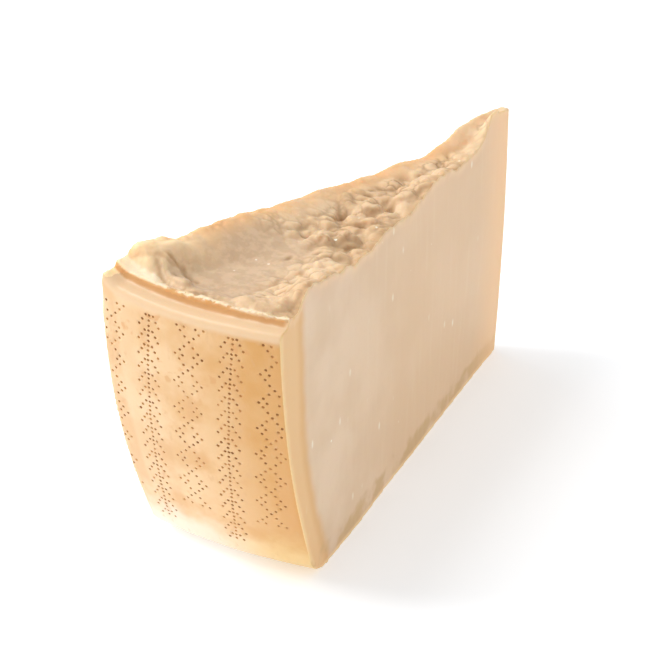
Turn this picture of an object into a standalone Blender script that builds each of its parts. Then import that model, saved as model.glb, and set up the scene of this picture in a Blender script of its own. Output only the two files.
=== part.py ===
"""A wedge of hard, aged cheese, as it is sold from the counter.

The wheel is halved flat at mid height, so the wedge stands on the wheel's flat rind, with the barrel-shaped
rind in front (-Y), two wire-cut sides that meet at a thin tip (+Y), and the rough, broken middle of the
wheel on top. The cheese is one solid: its rind is part of it.

Units are metres. The base is at z = 0, with its middle at the origin.
"""
import math

import bpy
import bmesh
from mathutils import Vector, noise

# Wheel
WHEEL_RADIUS = 0.2049        # at the top edge of the rind
RIND_HEIGHT = 0.1221         # from the flat rind to where the barrel is widest
BARREL_DEPTH = 0.0275        # how far the rind draws in, down to the flat rind
BARREL_POWER = 1.94
BARREL_STEPS = 16
BASE_ROUND = 0.0097          # rounding between the barrel and the flat rind
ROUND_STEPS = 6
TURN_STEPS = 360

# Scored ledge along the top of the rind, and the lip of paste behind it
EDGE_ROUND = 0.0024
EDGE_STEPS = 4
LEDGE_HEIGHT = 0.1203
LEDGE_DEPTH = 0.0068
LEDGE_LIFT = 0.0030          # the hand-cut ledge climbs this much towards the left side
LEDGE_LIFT_POWER = 1.8
END_LIFT = 0.0028            # it turns up by this much more at its left end
LIP_HEIGHT = 0.0040
BLANK_HEIGHT = LEDGE_HEIGHT + LIP_HEIGHT
LIP_WIDTH, FACET_WIDTH = 0.0008, 0.0042
LIP = ((-1.0, 0.1280), (-0.80, 0.1252), (-0.5, 0.1244), (0.2, 0.1243), (0.6, 0.1230), (1.0, 0.1230))

# Wire cuts
HALF_ANGLE = math.radians(10.26)
TIP_X = 0.0226               # where the cuts meet, from the axis of the wheel
TIP_Y = 0.0048
TIP_WIDTH = 0.0036
TIP_LEAN = 0.0032            # how far the tip's top leans out past its foot
TIP_STEADY = 0.68            # the share of the height at which the leaning tip stays in place
TIP_BOW = 0.0010             # how far the tip bows out at mid height
LEFT_FLARE = 0.0041          # the left cut slants out this far on its way down
CUT_WAVE = 0.0004            # the wire's wander
CUT_MARGIN = 0.0060          # the break is made on a block this much larger than the wedge
SLICES_ALONG, SLICES_UP = 12, 6   # edges across the cut sides, which let them bend

# Broken top: height over the way from the rind (0) to the tip (1), along the left side, the middle and
# the right side
TOP_LEFT = ((0.000, 0.1272), (0.030, 0.1294), (0.055, 0.1303), (0.090, 0.1306), (0.125, 0.1294),
            (0.170, 0.1252), (0.213, 0.1249), (0.260, 0.1240), (0.308, 0.1232), (0.356, 0.1212),
            (0.400, 0.1190), (0.487, 0.1168), (0.615, 0.1130), (0.661, 0.1112), (0.700, 0.1116),
            (0.787, 0.1084), (0.837, 0.1104), (0.885, 0.1142), (0.930, 0.1150), (0.965, 0.1145),
            (1.000, 0.1136))
TOP_MIDDLE = ((0.00, 0.1240), (0.04, 0.1236), (0.10, 0.1188), (0.22, 0.1165), (0.36, 0.1162),
              (0.60, 0.1114), (0.82, 0.1078), (0.92, 0.1130), (1.00, 0.1140))
TOP_RIGHT = ((0.000, 0.1232), (0.045, 0.1214), (0.072, 0.1226), (0.090, 0.1256), (0.110, 0.1274),
             (0.131, 0.1276), (0.162, 0.1254), (0.194, 0.1230), (0.258, 0.1195), (0.308, 0.1172),
             (0.366, 0.1163), (0.477, 0.1160), (0.508, 0.1142), (0.539, 0.1135), (0.597, 0.1149),
             (0.640, 0.1163), (0.688, 0.1148), (0.760, 0.1111), (0.832, 0.1105), (0.870, 0.1122),
             (0.890, 0.1170), (0.905, 0.1200), (0.926, 0.1196), (0.967, 0.1159), (1.000, 0.1138))

# Crags: size of the lumps, how far they stand out, how domed they are, and the depth of the clefts
CRAGS = ((0.0115, 0.0022, 0.0014, 0.0014), (0.0055, 0.0010, 0.0009, 0.0009))
CRAG_WARP = 0.30
CRAG_SEED = 206              # sets how the lumps are scattered
CRAG_LENGTH = 1.15           # the lumps are this much longer across the wedge
CRAG_EDGE = 0.0060           # the wire has torn the highest lumps off this near to a side
BOWL_START, BOWL_END = 0.03, 0.37

# Forms that stand out of the break or lie deep in it: middle from the wheel's axis, half length, half
# width, turn in degrees, the share of the width over which it rises, and height
FORMS = ((-0.0132, -0.1874, 0.0110, 0.0046, -40.0, 0.25, 0.0022),
         (-0.0190, -0.1815, 0.0046, 0.0015, 30.0, 0.90, -0.0014),
         (-0.0290, -0.1850, 0.0080, 0.0050, 60.0, 0.80, 0.0012),
         (0.0038, -0.0931, 0.0060, 0.0030, 118.0, 0.50, 0.0016),
         (0.0147, -0.0943, 0.0052, 0.0056, 28.0, 0.35, 0.0018),
         (0.0212, -0.0814, 0.0054, 0.0048, 28.0, 0.40, 0.0016),
         (0.0290, -0.1117, 0.0060, 0.0054, 28.0, 0.40, 0.0010),
         (0.0131, -0.1282, 0.0032, 0.0036, 28.0, 0.50, 0.0014),
         (0.0063, -0.1126, 0.0040, 0.0034, 28.0, 0.50, 0.0010),
         (0.0229, -0.0415, 0.0036, 0.0032, 28.0, 0.50, 0.0012),
         (0.0041, -0.0848, 0.0026, 0.0034, 118.0, 0.50, 0.0012),
         (0.0205, -0.1232, 0.0052, 0.0050, 28.0, 0.50, 0.0010),
         (0.0083, -0.1038, 0.0075, 0.0024, 84.0, 0.90, -0.0032),
         (0.0082, -0.1084, 0.0050, 0.0020, 35.0, 0.90, -0.0022),
         (0.0201, -0.0891, 0.0070, 0.0024, 112.0, 0.90, -0.0036),
         (0.0202, -0.0991, 0.0050, 0.0016, 28.0, 0.90, -0.0018),
         (0.0194, -0.1110, 0.0038, 0.0028, 28.0, 0.90, -0.0028),
         (0.0085, -0.0849, 0.0024, 0.0028, 118.0, 0.90, -0.0020),
         (0.0082, -0.0796, 0.0030, 0.0017, 28.0, 0.90, -0.0016),
         (0.0171, -0.0558, 0.0046, 0.0017, 34.0, 0.90, -0.0020),
         (0.0239, -0.0701, 0.0018, 0.0020, 28.0, 0.90, -0.0016),
         (0.0175, -0.1407, 0.0030, 0.0022, 10.0, 0.95, -0.0012),
         (0.0265, -0.1336, 0.0024, 0.0018, 50.0, 0.95, -0.0012),
         (0.0306, -0.1436, 0.0022, 0.0016, 70.0, 0.95, -0.0010),
         (0.0087, -0.1466, 0.0032, 0.0017, 80.0, 0.95, -0.0009),
         (0.0055, -0.1281, 0.0044, 0.0015, 28.0, 0.90, -0.0013),
         (0.0218, -0.1670, 0.0040, 0.0014, 28.0, 0.90, -0.0012),
         (0.0171, -0.0404, 0.0017, 0.0019, 28.0, 0.90, -0.0012))

# Mesh
VOXEL = 0.0016
TRIANGLES = 9000
BASE_SNAP = 0.0006

# Paste colour of the cheese
PASTE_COLOR = (0.78, 0.58, 0.38, 1.0)
PASTE_ROUGHNESS = 0.55


def smooth(value):
    value = min(max(value, 0.0), 1.0)
    return value * value * (3.0 - 2.0 * value)


def mix(low, high, share):
    return low + (high - low) * share


def along(profile, way):
    """Height of a profile at a way from the rind, eased between its points."""
    for (way_0, height_0), (way_1, height_1) in zip(profile, profile[1:]):
        if way <= way_1:
            return mix(height_0, height_1, smooth((way - way_0) / (way_1 - way_0)))
    return profile[-1][1]


def barrel_radius(height):
    share = min(max(height / RIND_HEIGHT, 0.0), 1.0)
    radius = WHEEL_RADIUS - BARREL_DEPTH * (1.0 - share) ** BARREL_POWER
    if height < BASE_ROUND:
        above_base = max(height / BASE_ROUND, 0.0)
        radius -= BASE_ROUND * (1.0 - math.sqrt(1.0 - (1.0 - above_base) ** 2))
    return radius


def wheel_profile():
    """Half section of the halved wheel, from the axis along the base and up the rind to the top."""
    heights = [BASE_ROUND * (1.0 - math.cos(step * math.pi / 2 / ROUND_STEPS)) for step in range(ROUND_STEPS)]
    for step in range(BARREL_STEPS + 1):
        heights.append(mix(BASE_ROUND, LEDGE_HEIGHT - EDGE_ROUND, step / BARREL_STEPS))
    points = [(0.0, 0.0)] + [(barrel_radius(height), height) for height in heights]
    edge_radius = points[-1][0] - EDGE_ROUND
    for step in range(1, EDGE_STEPS + 1):
        turned = step / EDGE_STEPS * math.pi / 2
        points.append((edge_radius + EDGE_ROUND * math.cos(turned),
                       LEDGE_HEIGHT - EDGE_ROUND + EDGE_ROUND * math.sin(turned)))
    ledge_end = WHEEL_RADIUS - LEDGE_DEPTH
    points.append((ledge_end, LEDGE_HEIGHT))
    points.append((ledge_end - 0.0003, BLANK_HEIGHT - 0.0008))
    points.append((ledge_end - 0.0012, BLANK_HEIGHT))
    points.append((0.0, BLANK_HEIGHT))
    return points


def turn_wheel():
    """The half wheel, turned from its section."""
    bm = bmesh.new()
    verts = [bm.verts.new((0.0, -radius, height)) for radius, height in wheel_profile()]
    edges = [bm.edges.new(pair) for pair in zip(verts, verts[1:])]
    bmesh.ops.spin(bm, geom=verts + edges, cent=(0, 0, 0), axis=(0, 0, 1), angle=math.tau,
                   steps=TURN_STEPS, use_merge=True)
    bmesh.ops.remove_doubles(bm, verts=bm.verts, dist=1e-6)
    bmesh.ops.recalc_face_normals(bm, faces=bm.faces)
    return bm


def cut(bm, point, normal):
    """Cuts away all that lies in front of a plane and closes the cut."""
    geometry = bm.verts[:] + bm.edges[:] + bm.faces[:]
    result = bmesh.ops.bisect_plane(bm, geom=geometry, plane_co=point, plane_no=normal, clear_outer=True)
    rim = [item for item in result["geom_cut"] if isinstance(item, bmesh.types.BMEdge)]
    bmesh.ops.holes_fill(bm, edges=rim)


def corner(side):
    """Top corner of a cut on the rind: side is -1 on the left, 1 on the right."""
    return Vector((side * WHEEL_RADIUS * math.sin(HALF_ANGLE), -WHEEL_RADIUS * math.cos(HALF_ANGLE),
                   RIND_HEIGHT))


def tip(side):
    return Vector((TIP_X + side * TIP_WIDTH / 2, TIP_Y, RIND_HEIGHT))


def outwards(side):
    """Direction square to a cut side, out of the cheese; the left side slants."""
    way = tip(side) - corner(side)
    direction = Vector((way.y, -way.x, 0.0)).normalized() * side
    if side < 0:
        direction.z = LEFT_FLARE / RIND_HEIGHT
    return direction.normalized()


def cut_out(bm, margin):
    """Cuts the two sides and the tip, all of them this far outside the wedge."""
    for side in (-1, 1):
        cut(bm, corner(side) + outwards(side) * margin, outwards(side))
    cut(bm, (TIP_X, TIP_Y + margin, 0.0), (0.15, 1.0, 0.0))
    bmesh.ops.recalc_face_normals(bm, faces=bm.faces)


def place_on_top(x, y):
    """Way from the rind to the tip, and across from the left side to the right, both 0 to 1."""
    front = corner(1).y
    way = (y - front) / (TIP_Y - front)
    left = mix(corner(-1).x, tip(-1).x, way)
    right = mix(corner(1).x, tip(1).x, way)
    return way, (x - left) / (right - left)


def wheel_turn(x, y):
    """Place round the wheel: -1 at the left side of the rind, 1 at its right side."""
    return math.atan2(x, -y) / HALF_ANGLE


def bowl_share(way, across):
    """1 in the smooth bowl behind the lip, 0 outside it."""
    share = smooth((way - BOWL_START) / 0.03) * smooth((BOWL_END - way) / 0.08)
    return share * smooth((0.78 - across) / 0.25) * smooth((across - 0.02) / 0.10)


def crag_share(way, across):
    """How craggy the break is: smooth in the bowl and along the left side, rough elsewhere."""
    left_slab = smooth((0.38 - across) / 0.16) * smooth((way - 0.30) / 0.10)
    width = 2.0 * corner(1).x * (1.0 - way)
    near_side = mix(0.25, 1.0, smooth(across * width / CRAG_EDGE))
    near_side *= mix(0.50, 1.0, smooth((1.0 - across) * width / CRAG_EDGE))
    return near_side * (1.0 - 0.94 * bowl_share(way, across)) * (1.0 - 0.80 * left_slab)


def crag_height(x, y):
    """Tilted lumps with clefts between them, in two sizes."""
    height = 0.0
    for size, stand, dome, cleft in CRAGS:
        place = Vector((x / (size * CRAG_LENGTH), y / size, 3.7))
        place += noise.noise_vector(place * 1.3) * CRAG_WARP
        distances, centres = noise.voronoi(place)
        lean = noise.noise_vector(centres[0] * 5.3 + Vector((0.0, 0.0, 9.1)))
        offset = place - centres[0]
        height += stand * (0.9 * lean.z + 0.5 * (lean.x * offset.x + lean.y * offset.y))
        height += dome * (0.6 - offset.length_squared)
        height -= cleft * (1.0 - smooth((distances[1] - distances[0]) / 0.25))
    return height


def form_reach(x, y, form):
    """0 outside a form, 1 on its flat."""
    middle_x, middle_y, length, width, turn, rise_share = form[:6]
    away = Vector((x - middle_x, y - middle_y, 0.0))
    if away.length > max(length, width):
        return 0.0
    direction = Vector((math.cos(math.radians(turn)), math.sin(math.radians(turn)), 0.0))
    reach = math.hypot(away.dot(direction) / length, away.cross(direction).z / width)
    return smooth((1.0 - reach) / rise_share)


def top_height(x, y):
    """Height of the break: its three profiles, eased into each other, and the crags."""
    way, across = place_on_top(x, y)
    behind_lump = smooth((way - 0.14) / 0.10)
    left_reach, left_slope = mix(0.27, 0.45, behind_lump), mix(0.16, 0.45, behind_lump)
    right_reach = mix(0.26, 0.50, smooth((way - 0.14) / 0.12))
    on_left = smooth((left_reach - across) / left_slope)
    height = mix(along(TOP_MIDDLE, way), along(TOP_LEFT, way), on_left)
    height = mix(height, along(TOP_RIGHT, way), smooth(1.0 - (1.0 - across) / right_reach))
    tip_fade = smooth((1.03 - way) / 0.10)
    height += sum(form[-1] * form_reach(x, y, form) for form in FORMS)
    behind = WHEEL_RADIUS - LEDGE_DEPTH - math.hypot(x, y)
    turn = wheel_turn(x, y)
    height = mix(along(LIP, turn), height, smooth((behind - lip_width(turn)) / 0.0045))
    lip_fade = smooth(behind / 0.010)
    return height + crag_height(x, y) * crag_share(way, across) * tip_fade * mix(0.25, 1.0, lip_fade)


def apply_modifiers(piece):
    """Makes the shape that the modifiers give the piece's own mesh."""
    evaluated = piece.evaluated_get(bpy.context.evaluated_depsgraph_get())
    mesh = bpy.data.meshes.new_from_object(evaluated)
    piece.modifiers.clear()
    piece.data = mesh


def remesh(piece):
    modifier = piece.modifiers.new("Even mesh", 'REMESH')
    modifier.mode = 'VOXEL'
    modifier.voxel_size = VOXEL
    apply_modifiers(piece)


def lip_width(turn):
    """Width of the flat lip behind the ledge: a narrow crumbling edge, and a wider facet at the left."""
    return mix(LIP_WIDTH, FACET_WIDTH, smooth((-0.30 - turn) / 0.25))


def ledge_lift(x, y, z):
    """How far the hand-cut ledge and the edge below it climb towards the left side."""
    leftwards = max(-wheel_turn(x, y), 0.0)
    lift = LEDGE_LIFT * leftwards ** LEDGE_LIFT_POWER + END_LIFT * smooth((leftwards - 0.80) / 0.22)
    return lift * smooth((z - LEDGE_HEIGHT + 0.012) / 0.010)


def break_top(bm):
    """Lifts the ledge at the left, and lifts and lowers the flat top behind it to the rough break."""
    for vert in bm.verts:
        x, y, z = vert.co
        behind_ledge = smooth((WHEEL_RADIUS - LEDGE_DEPTH - math.hypot(x, y)) / 0.0020)
        vert.co.z += ledge_lift(x, y, z) * (1.0 - behind_ledge)
        if z > LEDGE_HEIGHT and behind_ledge > 0.0:
            share = smooth((z - LEDGE_HEIGHT) / (LIP_HEIGHT - VOXEL)) * behind_ledge
            vert.co.z += (top_height(x, y) - BLANK_HEIGHT) * share


def slice_sides(bm):
    """Edges across the flat sides, so that they can bend."""
    spans = ((1, corner(1).y, TIP_Y, SLICES_ALONG), (2, 0.0, RIND_HEIGHT, SLICES_UP))
    for axis, start, end, count in spans:
        for step in range(1, count):
            point = Vector((0.0, 0.0, 0.0))
            point[axis] = mix(start, end, step / count)
            normal = Vector((0.0, 0.0, 0.0))
            normal[axis] = 1.0
            bmesh.ops.bisect_plane(bm, geom=bm.verts[:] + bm.edges[:] + bm.faces[:], plane_co=point,
                                   plane_no=normal)


def bend_sides(bm):
    """The tip leans, and the cuts wander a little."""
    for vert in bm.verts:
        x, y, z = vert.co
        vert.co.x += TIP_LEAN * smooth(place_on_top(x, y)[0]) * (z / RIND_HEIGHT - TIP_STEADY)
        vert.co.x += TIP_BOW * smooth(place_on_top(x, y)[0]) * math.sin(math.pi * z / RIND_HEIGHT)
        vert.co.x += CUT_WAVE * noise.noise(Vector((0.0, y / 0.030, z / 0.055)))


def thin_out(piece):
    """Fewer triangles where the cheese is flat; the break keeps its own."""
    modifier = piece.modifiers.new("Fewer triangles", 'DECIMATE')
    triangles = sum(len(polygon.vertices) - 2 for polygon in piece.data.polygons)
    modifier.ratio = TRIANGLES / triangles
    apply_modifiers(piece)


def centre_on_base(piece):
    """Makes the base flat at z = 0 and puts the middle of the outline over the origin."""
    verts = piece.data.vertices
    for vert in verts:
        if vert.co.z < BASE_SNAP:
            vert.co.z = 0.0
    low = [min(vert.co[axis] for vert in verts) for axis in (0, 1)]
    high = [max(vert.co[axis] for vert in verts) for axis in (0, 1)]
    for vert in verts:
        vert.co.x -= (low[0] + high[0]) / 2
        vert.co.y -= (low[1] + high[1]) / 2


def cheese_material():
    material = bpy.data.materials.new("cheese")
    material.use_nodes = True
    shader = material.node_tree.nodes["Principled BSDF"]
    shader.inputs["Base Color"].default_value = PASTE_COLOR
    shader.inputs["Roughness"].default_value = PASTE_ROUGHNESS
    shader.inputs["Metallic"].default_value = 0.0
    return material


def make_wedge():
    mesh = bpy.data.meshes.new("cheese_wedge")
    wedge = bpy.data.objects.new("cheese_wedge", mesh)
    bpy.context.scene.collection.objects.link(wedge)
    bm = turn_wheel()
    cut_out(bm, CUT_MARGIN)
    bm.to_mesh(wedge.data)
    bm.free()
    remesh(wedge)
    bm = bmesh.new()
    bm.from_mesh(wedge.data)
    break_top(bm)
    cut_out(bm, 0.0)
    slice_sides(bm)
    bend_sides(bm)
    bm.to_mesh(wedge.data)
    bm.free()
    thin_out(wedge)
    centre_on_base(wedge)
    wedge.data.shade_smooth()
    wedge.data.set_sharp_from_angle(angle=math.radians(35))
    wedge.data.materials.clear()
    wedge.data.materials.append(cheese_material())
    return wedge


for old in list(bpy.data.objects):
    bpy.data.objects.remove(old, do_unlink=True)

noise.seed_set(CRAG_SEED)
make_wedge()
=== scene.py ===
"""The looks of a wedge of hard, aged cheese: its break, its cut sides, its rind and the light on it."""

import math

import bmesh
import bpy
from mathutils import Matrix, Vector, noise
from mathutils.geometry import intersect_point_line


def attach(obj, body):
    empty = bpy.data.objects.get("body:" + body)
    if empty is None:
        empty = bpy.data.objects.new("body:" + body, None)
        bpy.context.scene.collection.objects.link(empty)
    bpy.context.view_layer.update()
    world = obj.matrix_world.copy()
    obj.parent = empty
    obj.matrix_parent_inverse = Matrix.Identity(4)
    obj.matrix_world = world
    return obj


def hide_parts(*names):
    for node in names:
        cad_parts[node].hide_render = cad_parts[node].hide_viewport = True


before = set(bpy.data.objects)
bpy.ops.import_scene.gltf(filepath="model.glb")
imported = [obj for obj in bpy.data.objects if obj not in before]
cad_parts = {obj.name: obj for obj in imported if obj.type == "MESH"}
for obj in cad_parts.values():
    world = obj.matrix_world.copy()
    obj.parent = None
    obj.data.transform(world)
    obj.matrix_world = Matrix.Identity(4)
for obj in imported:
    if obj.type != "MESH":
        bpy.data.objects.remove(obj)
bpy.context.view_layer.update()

# Wheel
WHEEL_RADIUS = 0.2049        # at the top edge of the rind
RIND_HEIGHT = 0.1221         # from the flat rind to where the barrel is widest
BARREL_DEPTH = 0.0275        # how far the rind draws in, down to the flat rind
BARREL_POWER = 1.94
BARREL_STEPS = 40
BASE_ROUND = 0.0097          # rounding between the barrel and the flat rind
ROUND_STEPS = 6
TURN_STEPS = 360

# Scored ledge along the top of the rind, and the lip of paste behind it
EDGE_ROUND = 0.0024
EDGE_STEPS = 4
LEDGE_HEIGHT = 0.1203
LEDGE_DEPTH = 0.0068
LEDGE_LIFT = 0.0030          # the hand-cut ledge climbs this much towards the left side
LEDGE_LIFT_POWER = 1.8
END_LIFT = 0.0028            # it turns up by this much more at its left end
LIP_HEIGHT = 0.0040
BLANK_HEIGHT = LEDGE_HEIGHT + LIP_HEIGHT
LIP_WIDTH, FACET_WIDTH = 0.0008, 0.0042
LIP = ((-1.0, 0.1280), (-0.80, 0.1252), (-0.5, 0.1244), (0.2, 0.1243), (0.6, 0.1230), (1.0, 0.1230))

# Wire cuts
HALF_ANGLE = math.radians(10.26)
TIP_X = 0.0226               # where the cuts meet, from the axis of the wheel
TIP_Y = 0.0048
TIP_WIDTH = 0.0036
TIP_LEAN = 0.0032            # how far the tip's top leans out past its foot
TIP_STEADY = 0.68            # the share of the height at which the leaning tip stays in place
TIP_BOW = 0.0010             # how far the tip bows out at mid height
LEFT_FLARE = 0.0041          # the left cut slants out this far on its way down
CUT_WAVE = 0.0004            # the wire's wander
CUT_MARGIN = 0.0060          # the break is made on a block this much larger than the wedge

# Broken top: height over the way from the rind (0) to the tip (1), along the left side, the middle and
# the right side
TOP_LEFT = ((0.000, 0.1272), (0.030, 0.1294), (0.055, 0.1303), (0.090, 0.1306), (0.125, 0.1294),
            (0.170, 0.1252), (0.213, 0.1249), (0.260, 0.1240), (0.308, 0.1232), (0.356, 0.1212),
            (0.400, 0.1190), (0.487, 0.1168), (0.615, 0.1130), (0.661, 0.1112), (0.700, 0.1116),
            (0.787, 0.1084), (0.837, 0.1104), (0.885, 0.1142), (0.930, 0.1150), (0.965, 0.1145),
            (1.000, 0.1136))
TOP_MIDDLE = ((0.00, 0.1240), (0.04, 0.1236), (0.10, 0.1188), (0.22, 0.1165), (0.36, 0.1162),
              (0.60, 0.1114), (0.82, 0.1078), (0.92, 0.1130), (1.00, 0.1140))
TOP_RIGHT = ((0.000, 0.1232), (0.045, 0.1214), (0.072, 0.1226), (0.090, 0.1256), (0.110, 0.1274),
             (0.131, 0.1276), (0.162, 0.1254), (0.194, 0.1230), (0.258, 0.1195), (0.308, 0.1172),
             (0.366, 0.1163), (0.477, 0.1160), (0.508, 0.1142), (0.539, 0.1135), (0.597, 0.1149),
             (0.640, 0.1163), (0.688, 0.1148), (0.760, 0.1111), (0.832, 0.1105), (0.870, 0.1122),
             (0.890, 0.1170), (0.905, 0.1200), (0.926, 0.1196), (0.967, 0.1159), (1.000, 0.1138))

# Crags: size of the lumps, how far they stand out, how domed they are, and the depth of the clefts
CRAGS = ((0.0115, 0.0022, 0.0014, 0.0014), (0.0055, 0.0010, 0.0009, 0.0009))
FINE_CRAGS = ((0.0028, 0.0004, 0.0002, 0.0003), (0.0013, 0.0002, 0.0001, 0.0001))
CRAG_WARP = 0.30
CRAG_SEED = 206              # sets how the lumps are scattered
CRAG_LENGTH = 1.15           # the lumps are this much longer across the wedge
CRAG_EDGE = 0.0060           # the wire has torn the highest lumps off this near to a side
BOWL_START, BOWL_END = 0.03, 0.37

# Forms that stand out of the break or lie deep in it: middle from the wheel's axis, half length, half
# width, turn in degrees, the share of the width over which it rises, and height
FORMS = ((-0.0132, -0.1874, 0.0110, 0.0046, -40.0, 0.25, 0.0022),
         (-0.0190, -0.1815, 0.0046, 0.0015, 30.0, 0.90, -0.0014),
         (-0.0290, -0.1850, 0.0080, 0.0050, 60.0, 0.80, 0.0012),
         (0.0038, -0.0931, 0.0060, 0.0030, 118.0, 0.50, 0.0016),
         (0.0147, -0.0943, 0.0052, 0.0056, 28.0, 0.35, 0.0018),
         (0.0212, -0.0814, 0.0054, 0.0048, 28.0, 0.40, 0.0016),
         (0.0290, -0.1117, 0.0060, 0.0054, 28.0, 0.40, 0.0010),
         (0.0131, -0.1282, 0.0032, 0.0036, 28.0, 0.50, 0.0014),
         (0.0063, -0.1126, 0.0040, 0.0034, 28.0, 0.50, 0.0010),
         (0.0229, -0.0415, 0.0036, 0.0032, 28.0, 0.50, 0.0012),
         (0.0041, -0.0848, 0.0026, 0.0034, 118.0, 0.50, 0.0012),
         (0.0205, -0.1232, 0.0052, 0.0050, 28.0, 0.50, 0.0010),
         (0.0083, -0.1038, 0.0075, 0.0024, 84.0, 0.90, -0.0032),
         (0.0082, -0.1084, 0.0050, 0.0020, 35.0, 0.90, -0.0022),
         (0.0201, -0.0891, 0.0070, 0.0024, 112.0, 0.90, -0.0036),
         (0.0202, -0.0991, 0.0050, 0.0016, 28.0, 0.90, -0.0018),
         (0.0194, -0.1110, 0.0038, 0.0028, 28.0, 0.90, -0.0028),
         (0.0085, -0.0849, 0.0024, 0.0028, 118.0, 0.90, -0.0020),
         (0.0082, -0.0796, 0.0030, 0.0017, 28.0, 0.90, -0.0016),
         (0.0171, -0.0558, 0.0046, 0.0017, 34.0, 0.90, -0.0020),
         (0.0239, -0.0701, 0.0018, 0.0020, 28.0, 0.90, -0.0016),
         (0.0175, -0.1407, 0.0030, 0.0022, 10.0, 0.95, -0.0012),
         (0.0265, -0.1336, 0.0024, 0.0018, 50.0, 0.95, -0.0012),
         (0.0306, -0.1436, 0.0022, 0.0016, 70.0, 0.95, -0.0010),
         (0.0087, -0.1466, 0.0032, 0.0017, 80.0, 0.95, -0.0009),
         (0.0055, -0.1281, 0.0044, 0.0015, 28.0, 0.90, -0.0013),
         (0.0218, -0.1670, 0.0040, 0.0014, 28.0, 0.90, -0.0012),
         (0.0171, -0.0404, 0.0017, 0.0019, 28.0, 0.90, -0.0012))

# Creases at the left of the break, as lines from the wheel's axis, with their half width and depth
CREASES = (((-0.0224, -0.1850), (-0.0186, -0.1837), (-0.0160, -0.1792)),
           ((-0.0220, -0.1870), (-0.0175, -0.1917), (-0.0128, -0.1954), (-0.0082, -0.1968)),
           ((-0.0150, -0.1863), (-0.0116, -0.1865), (-0.0068, -0.1864)),
           ((-0.0161, -0.1805), (-0.0092, -0.1809)),
           ((-0.0310, -0.1900), (-0.0262, -0.1880), (-0.0224, -0.1850)))
CREASE_WIDTH, CREASE_DEPTH = 0.0016, 0.0009

# Mesh
BLOCK_VOXEL = 0.0010         # of the block, before its top is broken
BREAK_VOXEL = 0.0007         # of the block with its broken top
SKIN_VOXEL = 0.0006          # of the wedge cut out of it
TRIANGLES = 165000
BASE_SNAP = 0.0004           # all that lies lower is pressed flat on the base
TOP_LIMIT = 0.1319           # the highest crumb
SIDE_SKIN = 0.0004           # the cut paste reaches this far round the edges of the sides

# Fine relief: how far each kind of surface rises and falls
CRUMB = 0.00022              # grains of the break
LIP_CRUMB = 0.00042          # crumbs along the lip
EDGE_CRUMB = 0.00040         # crumbs along the edges of the sides
RIND_WAVE = 0.00022          # soft unevenness of the rind
CUT_STREAK = 0.00006         # what the wire leaves on the sides
GRAIN_SIZES = (0.0016, 0.0008)
LIP_CRUMB_SIZE, EDGE_CRUMB_SIZE, EDGE_CRUMB_REACH = 0.0021, 0.0024, 0.0045
WAVE_SIZES = (0.018, 0.0045, 0.0012)
STREAK_SIZE, STREAK_GRAIN = (0.003, 0.0022, 0.050), 0.0012

# Pin-pricked ornament: five upright columns, which lean a little
COLUMNS = (-2, -1, 0, 1, 2)
COLUMN_PITCH = math.radians(4.75)
COLUMN_LEAN = math.radians(0.0322) / 0.001     # angle for each metre of height
COLUMN_TOP = 0.1155
LONG_FOOT, SHORT_FOOT = 0.0135, 0.0280
COLUMN_WIDTH = 0.0112
LOZENGE, LOZENGE_ROWS = 0.0125, 6
INNER_LOZENGE = 0.0032      # the inner dots of a lozenge lie this far inside the outer ones
BARB, BARB_ROWS = 0.0066, 3
BARB_START = 0.0016          # the first dots of a barb lie this far from the column's middle
PRICK_RADIUS = 0.00072
PRICK_DEPTH = 0.00040
PRICK_SIDES = 8
PRICK_WOBBLE = 0.00035       # how far the dots stray

# Colours, as linear red, green and blue. The rind's left, right and foot tones, the riser's, the bowl's, the
# golds, the cleft browns, the base and tip glows and the edge cream carry painted light and shade, as told
# where they are used.
RIND_GOLD, RIND_PALE = (0.76, 0.43, 0.17), (0.86, 0.57, 0.30)
RIND_LEFT_PALE_AND_LIT, RIND_RIGHT_ORANGE_AND_SHADED, RIND_FOOT_LIGHT_WHITE = (0.90, 0.65, 0.39), (0.66, 0.31, 0.06), (0.95, 0.81, 0.65)
RIND_SCUFF, RIND_STAIN, RIND_FOOT_LIGHT_YELLOW = (0.70, 0.40, 0.18), (0.74, 0.40, 0.16), (0.88, 0.62, 0.28)
RIND_RUST = (0.70, 0.33, 0.11)
LEDGE_CREAM = (0.82, 0.57, 0.34)
RISER_SHADED_ORANGE, RISER_SHADED_DARK = (0.70, 0.37, 0.14), (0.60, 0.30, 0.11)
PRICK_BROWN, PRICK_DARK = (0.68, 0.37, 0.15), (0.42, 0.20, 0.08)
PASTE_PALE, PASTE_DEEP, PASTE_STREAK = (0.81, 0.60, 0.410), (0.74, 0.525, 0.335), (0.83, 0.63, 0.43)
PASTE_FAR, EDGE_GLOW_CREAM = (0.78, 0.52, 0.300), (0.86, 0.61, 0.365)
PASTE_GRAIN, CRYSTAL = (0.70, 0.48, 0.31), (0.95, 0.88, 0.74)
ZONE_SKIN, ZONE_PINK, ZONE_ORANGE = (0.90, 0.63, 0.31), (0.83, 0.51, 0.22), (0.75, 0.41, 0.14)
BAND_OLIVE, BASE_GLOW, TIP_GLOW_ORANGE = (0.62, 0.39, 0.17), (0.93, 0.65, 0.35), (0.93, 0.59, 0.30)
BREAK_PALE, BREAK_TAN, BREAK_PEAK = (0.80, 0.58, 0.37), (0.71, 0.48, 0.28), (0.92, 0.71, 0.46)
BREAK_SIDE, LUMP_SHADE_BROWN = (0.64, 0.41, 0.22), (0.62, 0.34, 0.14)
BREAK_GLOW_GOLD, LUMP_LIT_GOLD, CLEFT_SHADE_BROWN = (0.85, 0.51, 0.24), (0.99, 0.74, 0.44), (0.34, 0.19, 0.08)
BOWL_SHADE_GREY, BOWL_SHADE_DARK, LIP_CREAM = (0.70, 0.50, 0.33), (0.60, 0.42, 0.27), (0.98, 0.81, 0.58)

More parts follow.
